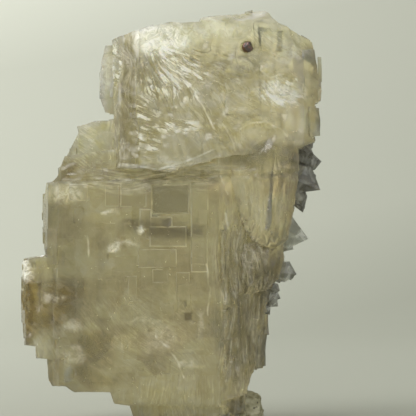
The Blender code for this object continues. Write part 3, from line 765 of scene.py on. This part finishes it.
calciteLook = {
    # measures that the mesh carries, and which of an attribute's outputs has them
    "fields": {
        "tone": "Color", "edge": "Fac", "thin": "Fac", "milk": "Fac", "streaks": "Fac",
        "glints": "Fac", "grain": "Vector", "cloudy": "Fac", "lips": "Fac", "cracks": "Fac",
    },
    # patterns over the object, in waves a metre: clouds of about 8 mm, veils of 2 mm, pits of 0.7 mm
    "overObject": {
        "clouds": {"Scale": 120.0, "Detail": 6.0, "Roughness": 0.6, "Distortion": 0.8},
        "veils": {"Scale": 480.0, "Detail": 6.0, "Roughness": 0.65, "Distortion": 1.5},
        "wisps": {"Scale": 420.0, "Detail": 6.0, "Roughness": 0.7, "Distortion": 1.2},
        "patches": {"Scale": 230.0, "Detail": 3.0},
        "breaks": {"Scale": 150.0, "Detail": 2.0},
        "pits": {"Scale": 1400.0, "Detail": 3.0, "Roughness": 0.7},
    },
    # patterns along the fractures, in waves a millimetre: fibres 1 mm apart and open cracks 2 mm apart
    "alongGrain": {
        "fibres": {"Scale": 0.9, "Detail": 5.0, "Roughness": 0.62, "Distortion": 0.25},
        "openings": {"Scale": 0.5, "Detail": 6.0, "Roughness": 0.55, "Distortion": 0.5},
    },
    # what is made of the patterns
    "ramps": {
        "cloudTone": ("clouds", [(0.34, 0.3), (0.5, 0.5), (0.66, 0.7)]),
        "veilTone": ("veils", [(0.36, 0.36), (0.52, 0.5), (0.68, 0.66)]),
        "fibreTone": ("fibres", [(0.36, 0.26), (0.5, 0.5), (0.66, 0.74)]),
        "lipHighlightPatches": ("breaks", [(0.42, 0.1), (0.56, 1.0)]),
        "openLines": ("openings", [(0.45, 0.0), (0.495, 1.0), (0.505, 1.0), (0.55, 0.0)]),
        "openParts": ("patches", [(0.4, 0.0), (0.52, 1.0)]),
        "glintFlakes": ("fibres", [(0.5, 0.0), (0.535, 1.0)]),
        "wispShare": ("wisps", [(0.38, 0.25), (0.58, 1.0)]),
        "roughness": ("veils", [(0.35, 0.16), (0.7, 0.28)]),
    },
    # blocks of cleavage inside, 11 mm and 4 mm across, and how much their tones differ
    "blocks": {"coarseBlocks": (90.0, 0.6), "fineBlocks": (260.0, 0.3)},
    # how much of each pattern lies over the colour
    "overlays": (("cloudTone", "cloudy", 0.85), ("veilTone", "cloudy", 0.22)),
    # painted light, which turns the colour paler, how much, and to what: a painted highlight on the
    # sloping sides of steps and on crests, and a painted glow on thin parts for the light they let
    # through
    "pale": (("lipHighlight", 0.6, "e6dfbe"), ("edge", 0.3, "e8e3ca"), ("thin", 0.45, "e0e2ce")),
    # what whitens the colour and stops the light, as factors: veils of tiny fluid bubbles with painted
    # glints among them, lines and flakes where air lies in a fracture, the flakes partly painted glints,
    # thin cracks, and the painted highlight on the sides of steps
    "haze": (
        ("milk", "wispShare"), ("openLines", "openParts", "streaks", 0.35),
        ("glintFlakes", "openParts", "glints"), ("cracks", 0.6), ("lipHighlight", 0.2),
    ),
    # relief too fine for the mesh: pattern, strength and depth in metres
    "bumps": (
        ("fibres", "fibreRelief", 0.0015), ("pits", 0.1, 0.00015), ("veils", 0.2, 0.0006),
    ),
}


def calciteMaterial(s):
    # calcite, natural cleavage and growth faces: glassy skin over a cloudy, honey-grey inside
    material, tree, shader = startMaterial("calcite natural cleavage")
    place = addNode(tree, "TexCoord", out="Object")
    look = {name: addNode(tree, "Attribute", None, {"attribute_name": name}, out)
            for name, out in s["fields"].items()}
    for name, values in s["overObject"].items():
        look[name] = addNode(tree, "TexNoise", {**values, "Vector": place})
    for name, values in s["alongGrain"].items():
        look[name] = addNode(tree, "TexNoise", {**values, "Vector": look["grain"]})
    for name, (source, stops) in s["ramps"].items():
        look[name] = addNode(tree, "ValToRGB", {0: look[source]}, {"stops": stops})
    # cell-like blocks, their sides a little bent
    bend = addNode(tree, "TexNoise", {"Scale": 90.0, "Detail": 2.0, "Vector": place}, out="Color")
    bent = addNode(tree, "Mix", {0: 0.0016, 6: place, 7: bend}, shift, 2)
    overlays = list(s["overlays"])
    for name, (scale, share) in s["blocks"].items():
        cubic = {"distance": "CHEBYCHEV"}
        cells = addNode(tree, "TexVoronoi", {"Scale": scale, "Vector": bent}, cubic, "Color")
        cell = addNode(tree, "SeparateColor", {0: cells})
        look[name] = addNode(tree, "ValToRGB", {0: cell}, {"stops": [(0.0, 0.34), (1.0, 0.66)]})
        overlays.append((name, "cloudy", share))
    overlays.append(("fibreTone", "streaks", 0.9))
    colour = look["tone"]
    for name, field, share in overlays:
        factor = addNode(tree, "Math", {0: look[field], 1: share}, {**times, "use_clamp": True})
        colour = addNode(tree, "Mix", {0: factor, 6: colour, 7: look[name]}, overlay, 2)
    # a painted highlight on the sides of growth steps that face a little away from the front, whichever
    # way they slope
    normal = addNode(tree, "NewGeometry", out="True Normal")
    back = addNode(tree, "SeparateXYZ", {0: normal}, out="Y")
    facing = addNode(tree, "Math", {0: back, 1: -1.0}, times)
    slopeHighlight = {"stops": [(0.45, 0.0), (0.62, 1.0), (0.88, 1.0), (0.95, 0.0)]}
    lipHighlight = addNode(tree, "ValToRGB", {0: facing}, slopeHighlight)
    lipHighlight = addNode(tree, "Math", {0: lipHighlight, 1: look["lips"]}, times)
    look["lipHighlight"] = addNode(tree, "Math", {0: lipHighlight, 1: look["lipHighlightPatches"]}, times)
    for name, share, code in s["pale"]:
        factor = addNode(tree, "Math", {0: look[name], 1: share}, times)
        colour = addNode(tree, "Mix", {0: factor, 6: colour, 7: fromHex(code)}, blend, 2)
    haze = 0.0
    for first, *others in s["haze"]:
        part = look[first]
        for other in others:
            part = addNode(tree, "Math", {0: part, 1: look.get(other, other)}, times)
        haze = addNode(tree, "Math", {0: haze, 1: part}, {**plus, "use_clamp": True})
    # the haze paints the colour white: milky veils and cracks of its own, with painted glints and the
    # painted step highlight
    factor = addNode(tree, "Math", {0: haze, 1: 0.93}, times)
    colour = addNode(tree, "Mix", {0: factor, 6: colour, 7: fromHex("fcf9ee")}, blend, 2)
    clear = {"Value": haze, "From Min": 0.0, "From Max": 1.0, "To Min": 0.82, "To Max": 0.1}
    absorb = addNode(tree, "VolumeAbsorption", {"Color": fromHex("cfbd74"), "Density": 14.0})
    tree.links.new(absorb, tree.nodes["Material Output"].inputs["Volume"])
    look["fibreRelief"] = addNode(tree, "Math", {0: look["streaks"], 1: 0.9}, times)
    bumped = {}
    for name, strength, deep in s["bumps"]:
        values = {"Height": look[name], "Strength": look.get(strength, strength), "Distance": deep}
        bumped = {"Normal": addNode(tree, "Bump", {**values, **bumped})}
    setInputs(tree, shader, {
        "Base Color": colour, "Transmission Weight": addNode(tree, "MapRange", clear), **bumped,
        "Roughness": look["roughness"], "IOR": 1.6,
        "Coat Weight": 0.3, "Coat Roughness": 0.06,  # the polish of fresh cleavage
        "Subsurface Weight": 1.0, "Subsurface Radius": (1.0, 0.94, 0.76), "Subsurface Scale": 0.012,
    })
    return material


# quartz

quartzSettings = {
    "smoky_quartz_cluster": {
        "piece": "smoky_quartz", "slot": "smoky_quartz", "seed": 4, "count": 26,
        "radius": (1.4, 2.6), "prism": (0.1, 0.5), "sprawl": 0.4, "point": 0.45,
        "finish": "smoky quartz natural faces", "tint": "918e82", "absorb": "5f5b50", "density": 90.0,
        "frost": (0.05, 0.18), "milky": 0.16,
    },
    "clear_quartz_crystal": {
        "piece": "clear_quartz", "slot": "clear_quartz", "seed": 8, "count": 4,
        "radius": (0.9, 1.7), "prism": (0.1, 0.5), "sprawl": 0.35, "point": 0.5,
        "finish": "rock crystal natural faces", "tint": "d6d8ca", "absorb": "b3b5a3", "density": 10.0,
        "frost": (0.12, 0.35), "milky": 0.3,
    },
    "grey_quartz_cluster": {
        "piece": "grey_quartz", "slot": "grey_quartz", "seed": 15, "count": 14,
        "radius": (0.8, 1.6), "prism": (0.2, 0.9), "sprawl": 0.45, "point": 0.65,
        "finish": "grey quartz natural faces", "tint": "bdbcaf", "absorb": "85826f", "density": 55.0,
        "frost": (0.1, 0.4), "milky": 0.3,
    },
}


def quartzPoint(foot, way, radius, prismLength, pointShare, twist, rng):
    # a six-sided prism under a point with three broad and three narrow faces
    bm = bmesh.new()
    bmesh.ops.create_circle(bm, cap_ends=True, segments=6, radius=radius)
    for v in bm.verts:
        v.co *= rng.uniform(0.85, 1.08)
    grown = bmesh.ops.extrude_face_region(bm, geom=bm.faces[:])["geom"]
    top = [v for v in grown if isinstance(v, bmesh.types.BMVert)]
    cap = [f for f in grown if isinstance(f, bmesh.types.BMFace)][0]
    bmesh.ops.translate(bm, vec=(0, 0, prismLength), verts=top)
    tip = bmesh.ops.poke(bm, faces=[cap])["verts"][0]
    tip.co += Vector([radius * k for k in (rng.uniform(-0.3, 0.3), rng.uniform(-0.3, 0.3), pointShare)])
    turn = upright.rotation_difference(way).to_matrix() @ Matrix.Rotation(twist, 3, "Z")
    bmesh.ops.translate(bm, vec=(0, 0, -radius * 0.6), verts=bm.verts)
    bmesh.ops.rotate(bm, cent=(0, 0, 0), matrix=turn, verts=bm.verts)
    bmesh.ops.translate(bm, vec=foot, verts=bm.verts)
    bmesh.ops.recalc_face_normals(bm, faces=bm.faces)
    return meshFrom(bm)


def quartzShape(node, s):
    # the node's solid with small crystals of every size grown over its free side
    freeSide, slack = -0.1, 0.4  # the least x of a free face's normal; mm past the solid's own box
    rng = random.Random(s["seed"])
    low, high = [Vector(c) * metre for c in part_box(node)]
    bm = solidOf(node)
    bm.normal_update()
    free = [f for f in bm.faces if f.normal.x > freeSide]
    picks = rng.choices(free, [f.calc_area() for f in free], k=s["count"] * 6)
    spots = [(f.calc_center_median(), f.normal.copy()) for f in picks]
    mesh = meshFrom(bm)
    made = 0
    for spot, normal in spots:
        radius = rng.uniform(*s["radius"]) * rng.choice((0.6, 1.0))
        prismLength = rng.uniform(*s["prism"])
        way = (normal + Vector([rng.uniform(-1, 1) * s["sprawl"] for _ in range(3)])).normalized()
        tip = spot + way * (prismLength + radius * s["point"])
        past = any(tip[k] < low[k] - slack or tip[k] > high[k] + slack for k in range(3))
        if made >= s["count"] or past:
            continue
        grown = quartzPoint(spot, way, radius, prismLength, s["point"], rng.uniform(0, 1), rng)
        mesh = combined(mesh, grown, "UNION")
        made += 1
    print(node, made, "small crystals,", len(mesh.polygons), "faces")
    return mesh


def quartzMaterial(s):
    # quartz, natural crystal faces: hard bright reflections, tinted through the depth, milky at the root
    material, tree, shader = startMaterial(s["finish"])
    place = addNode(tree, "TexCoord", out="Object")
    wavy = {"Scale": 300.0, "Detail": 4.0, "Roughness": 0.5, "Distortion": 1.0}  # about 3 mm
    veils = addNode(tree, "TexNoise", {**wavy, "Vector": place})
    cloud = addNode(tree, "ValToRGB", {0: veils}, {"stops": [(0.4, 0.0), (0.75, 1.0)]})
    colour = addNode(tree, "Mix", {0: cloud, 6: fromHex(s["tint"]), 7: fromHex("f2f2ec")}, blend, 2)
    milky = {"From Min": 0.4, "From Max": 0.75, "To Min": 0.62, "To Max": 1 - s["milky"] * 3}
    frosted = {"From Min": 0.35, "From Max": 0.7, "To Min": s["frost"][0], "To Max": s["frost"][1]}
    # growth lines across the prism faces, drawn 0.6 mm apart so that they show
    lines = addNode(tree, "TexNoise", {"Scale": 1800.0, "Detail": 3.0, "Vector": place})
    absorb = addNode(tree, "VolumeAbsorption", {"Color": fromHex(s["absorb"]), "Density": s["density"]})
    tree.links.new(absorb, tree.nodes["Material Output"].inputs["Volume"])
    setInputs(tree, shader, {
        "Base Color": colour, "IOR": 1.544,
        "Transmission Weight": addNode(tree, "MapRange", {**milky, "Value": veils}),
        "Roughness": addNode(tree, "MapRange", {**frosted, "Value": veils}),
        "Normal": addNode(tree, "Bump", {"Strength": 0.15, "Distance": 0.0001, "Height": lines}),
    })
    return material


# sphalerite grain and matrix

grainSettings = {"seed": 6, "cuts": 16, "depth": (0.72, 0.9)}  # how far out the faces lie, in radii


def grainShape(s):
    # tetrahedral and dodecahedral faces cut from a ball, kept in its socket
    rng = random.Random(s["seed"])
    low, high = [Vector(c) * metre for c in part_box("sphalerite_grain")]
    middle, half = (low + high) / 2, (high - low) / 2
    bm = bmesh.new()
    bmesh.ops.create_icosphere(bm, subdivisions=4, radius=1.0)
    bmesh.ops.scale(bm, vec=half, verts=bm.verts)
    for _ in range(s["cuts"]):
        way = Vector([rng.gauss(0, 1) for _ in range(3)]).normalized()
        depth = rng.uniform(*s["depth"]) * half.x
        every = bm.verts[:] + bm.edges[:] + bm.faces[:]
        bmesh.ops.bisect_plane(bm, geom=every, plane_co=way * depth, plane_no=way, clear_outer=True)
        bmesh.ops.holes_fill(bm, edges=[e for e in bm.edges if e.is_boundary])
    bmesh.ops.translate(bm, vec=middle, verts=bm.verts)
    bmesh.ops.triangulate(bm, faces=bm.faces)
    bmesh.ops.recalc_face_normals(bm, faces=bm.faces)
    return meshFrom(bm)


def grainMaterial():
    # sphalerite, broken faces: resinous to adamantine shine over deep red brown
    material, tree, shader = startMaterial("sphalerite broken faces")
    place = addNode(tree, "TexCoord", out="Object")
    patches = addNode(tree, "TexNoise", {"Scale": 900.0, "Detail": 3.0, "Vector": place})  # 1 mm
    browns = {"stops": [(0.38, "170a08"), (0.52, "481b12"), (0.66, "86503e")]}
    sheen = {"stops": [(0.3, 0.05), (0.7, 0.2)]}
    setInputs(tree, shader, {
        "Base Color": addNode(tree, "ValToRGB", {0: patches}, browns), "IOR": 2.37,
        "Roughness": addNode(tree, "ValToRGB", {0: patches}, sheen), "Transmission Weight": 0.15,
    })
    return material


matrixSettings = {
    "edge": 0.45,  # longest edge, mm
    # crumbs and lumps: size of its features in mm, seed, height in mm
    "crumbs": (2.4, 1.0, 0.35), "grit": (0.9, 5.0, 0.22), "lumps": (4.0, 8.0, 0.4), "sunk": 0.3,
    "foot": (0.05, 1.2),  # mm above the ground where the relief begins and is full
}


def matrixShape(s):
    # the crumbly rock: the node's solid, made finer and roughened
    bm = solidOf("matrix_fragment")
    refine(bm, lambda p: s["edge"])
    mesh = meshFrom(bm)
    p, n = getPoints(mesh), getNormals(mesh)
    out = ridgesAt(p, *s["crumbs"][:2]) * s["crumbs"][2] - s["sunk"]
    for size, seed, height in (s["grit"], s["lumps"]):
        out += noiseAt(p, size, seed) * height
    p = p + n * (out * smoothStep(*s["foot"], p[:, 2]))[:, None]
    p[:, 2] = np.maximum(p[:, 2], 0)
    setPoints(mesh, p)
    return mesh


def matrixMaterial():
    # dolomite rock, crumbly: chalky cream grains with dark specks of ore
    material, tree, shader = startMaterial("dolomite crumbly rock")
    place = addNode(tree, "TexCoord", out="Object")
    # grains of 0.7 mm, patches of 2 mm and specks of 1 mm
    grains = addNode(tree, "TexVoronoi", {"Scale": 1400.0, "Randomness": 1.0, "Vector": place})
    patches = addNode(tree, "TexNoise", {"Scale": 500.0, "Detail": 5.0, "Vector": place})
    ore = addNode(tree, "TexNoise", {"Scale": 800.0, "Detail": 2.0, "Distortion": 0.5, "Vector": place})
    creams = {"stops": [(0.35, "8b8768"), (0.5, "b2ad8e"), (0.68, "cfcbb0")]}
    colour = addNode(tree, "ValToRGB", {0: patches}, creams)
    specks = addNode(tree, "ValToRGB", {0: ore}, {"stops": [(0.66, 0.0), (0.7, 1.0)]})
    setInputs(tree, shader, {
        "Base Color": addNode(tree, "Mix", {0: specks, 6: colour, 7: fromHex("3b362a")}, blend, 2),
        "Normal": addNode(tree, "Bump", {"Strength": 0.6, "Distance": 0.0003, "Height": grains}),
        "Roughness": 0.85,
    })
    return material


print("calcite next")
calciteMesh = calciteShape(calciteSettings)
calciteShade = paneShade(calciteMesh)
roughenCalcite(calciteMesh)
measureCalcite(calciteMesh)
milkCalcite(calciteMesh)
streakCalcite(calciteMesh)
tintCalcite(calciteMesh, calciteShade)
shadeCrisp(calciteMesh, 24)
pieceFrom(calciteMesh, "calcite_body", "calcite_crystals", [calciteMaterial(calciteLook)])
print("calcite done")

for nodeName, quartz in quartzSettings.items():
    quartzMesh = quartzShape(nodeName, quartz)
    pieceFrom(quartzMesh, quartz["piece"], nodeName, [quartzMaterial(quartz)])
pieceFrom(grainShape(grainSettings), "sphalerite", "sphalerite_grain", [grainMaterial()])
matrixMesh = matrixShape(matrixSettings)
shadeCrisp(matrixMesh, 40)
pieceFrom(matrixMesh, "matrix_rock", "matrix_fragment", [matrixMaterial()])
print("quartz, grain and matrix done")


# camera and light

photo = {
    "pixel": 0.28,  # mm of the specimen in one of the photograph's 416 pixels
    "pixels": 416,
    "middle": (10.37, 60.48),  # x and z that the view is centred on, mm
    "near": -14.0,  # y of the plane at that scale
    "distance": 950.0,
}


def addCamera(s):
    data = bpy.data.cameras.new("camera")
    data.sensor_width = 36.0
    data.lens = data.sensor_width * s["distance"] / (s["pixel"] * s["pixels"])
    data.clip_start = 0.05
    data.clip_end = 20.0
    camera = bpy.data.objects.new("camera", data)
    spot = Vector((s["middle"][0], s["near"] - s["distance"], s["middle"][1]))
    camera.location = spot / metre
    camera.rotation_euler = (math.radians(90), 0, 0)
    scene.collection.objects.link(camera)
    scene.camera = camera


lampSettings = {
    # where each soft lamp stands and looks at, mm, its size in mm, watts and colour
    "keyUpperLeft": ((-800, -620, 860), (0, 0, 60), 1100, 15.0, "fffdfa"),
    "frontFill": ((520, -900, 240), (0, 0, 60), 1000, 2.4, "fcfdff"),
    "topBack": ((-260, 380, 760), (0, 0, 70), 900, 4.0, "ffffff"),
    "wallLeft": ((-700, 560, 760), (-240, 1400, 380), 500, 6.5, "ffffff"),
}


def addLamps(lamps):
    for name, (spot, target, size, watts, colour) in lamps.items():
        data = bpy.data.lights.new(name, "AREA")
        data.shape = "SQUARE"
        data.size = size / metre
        data.energy = watts
        data.color = fromHex(colour)[:3]
        lamp = bpy.data.objects.new(name, data)
        lamp.location = Vector(spot) / metre
        way = Vector(target) - Vector(spot)
        lamp.rotation_mode = "QUATERNION"
        lamp.rotation_quaternion = way.to_track_quat("-Z", "Y")
        scene.collection.objects.link(lamp)


sweepSettings = {
    # metres: half the width, y of the near edge and of the foot of the rise, its radius, wall above it
    "half": 2.6, "near": -2.2, "far": 0.6, "radius": 0.9, "wall": 2.0,
    # the paper's tones along the painted falloff of light, from dark to pale
    "paper": [(0.28, "999b8f"), (0.4, "acaea2"), (0.7, "babcb0"), (0.84, "d1d3c7")],
}


def addStage(s):
    # a pale sweep: floor, curved rise and back wall in one sheet
    bm = bmesh.new()
    rim = [bm.verts.new((side * s["half"], s["near"], 0)) for side in (-1, 1)]
    grown = bmesh.ops.extrude_edge_only(bm, edges=[bm.edges.new(rim)])["geom"]
    moved = [v for v in grown if isinstance(v, bmesh.types.BMVert)]
    bmesh.ops.translate(bm, vec=(0, s["far"] - s["near"], 0), verts=moved)
    line = [e for e in bm.edges if all(abs(v.co.y - s["far"]) < 1e-6 for v in e.verts)]
    centre = (0, s["far"], s["radius"])
    bmesh.ops.spin(bm, geom=line, cent=centre, axis=(1, 0, 0), angle=math.radians(90), steps=32)
    top = [e for e in bm.edges if all(v.co.z > s["radius"] - 0.001 for v in e.verts)]
    grown = bmesh.ops.extrude_edge_only(bm, edges=top)["geom"]
    moved = [v for v in grown if isinstance(v, bmesh.types.BMVert)]
    bmesh.ops.translate(bm, vec=(0, 0, s["wall"]), verts=moved)
    bmesh.ops.remove_doubles(bm, verts=bm.verts, dist=1e-5)
    bmesh.ops.recalc_face_normals(bm, faces=bm.faces)
    mesh = meshFrom(bm, "sweep")
    mesh.shade_smooth()
    # matt paper with a painted falloff of light: paler up the wall and to the left
    material, tree, shader = startMaterial("matt paper with painted falloff")
    place = addNode(tree, "TexCoord", out="Object")
    up = addNode(tree, "SeparateXYZ", {0: place}, out="Z")
    right = addNode(tree, "SeparateXYZ", {0: place}, out="X")
    timesPlus = {"operation": "MULTIPLY_ADD"}
    lightFalloff = addNode(tree, "Math", {0: up, 1: 2.4, 2: 0.3}, timesPlus)
    lightFalloff = addNode(tree, "Math", {0: right, 1: -0.5, 2: lightFalloff}, timesPlus)
    paper = addNode(tree, "ValToRGB", {0: lightFalloff}, {"stops": s["paper"]})
    setInputs(tree, shader, {"Base Color": paper, "Roughness": 0.9})
    mesh.materials.append(material)
    sweep = bpy.data.objects.new("sweep", mesh)
    scene.collection.objects.link(sweep)


def addSky():
    world = bpy.data.worlds.new("studio")
    world.use_nodes = True
    background = world.node_tree.nodes["Background"]
    setInputs(world.node_tree, background, {"Color": fromHex("eceee6"), "Strength": 0.45})
    scene.world = world
    scene.view_settings.view_transform = "Standard"


addCamera(photo)
addLamps(lampSettings)
addStage(sweepSettings)
addSky()
print("stage done")
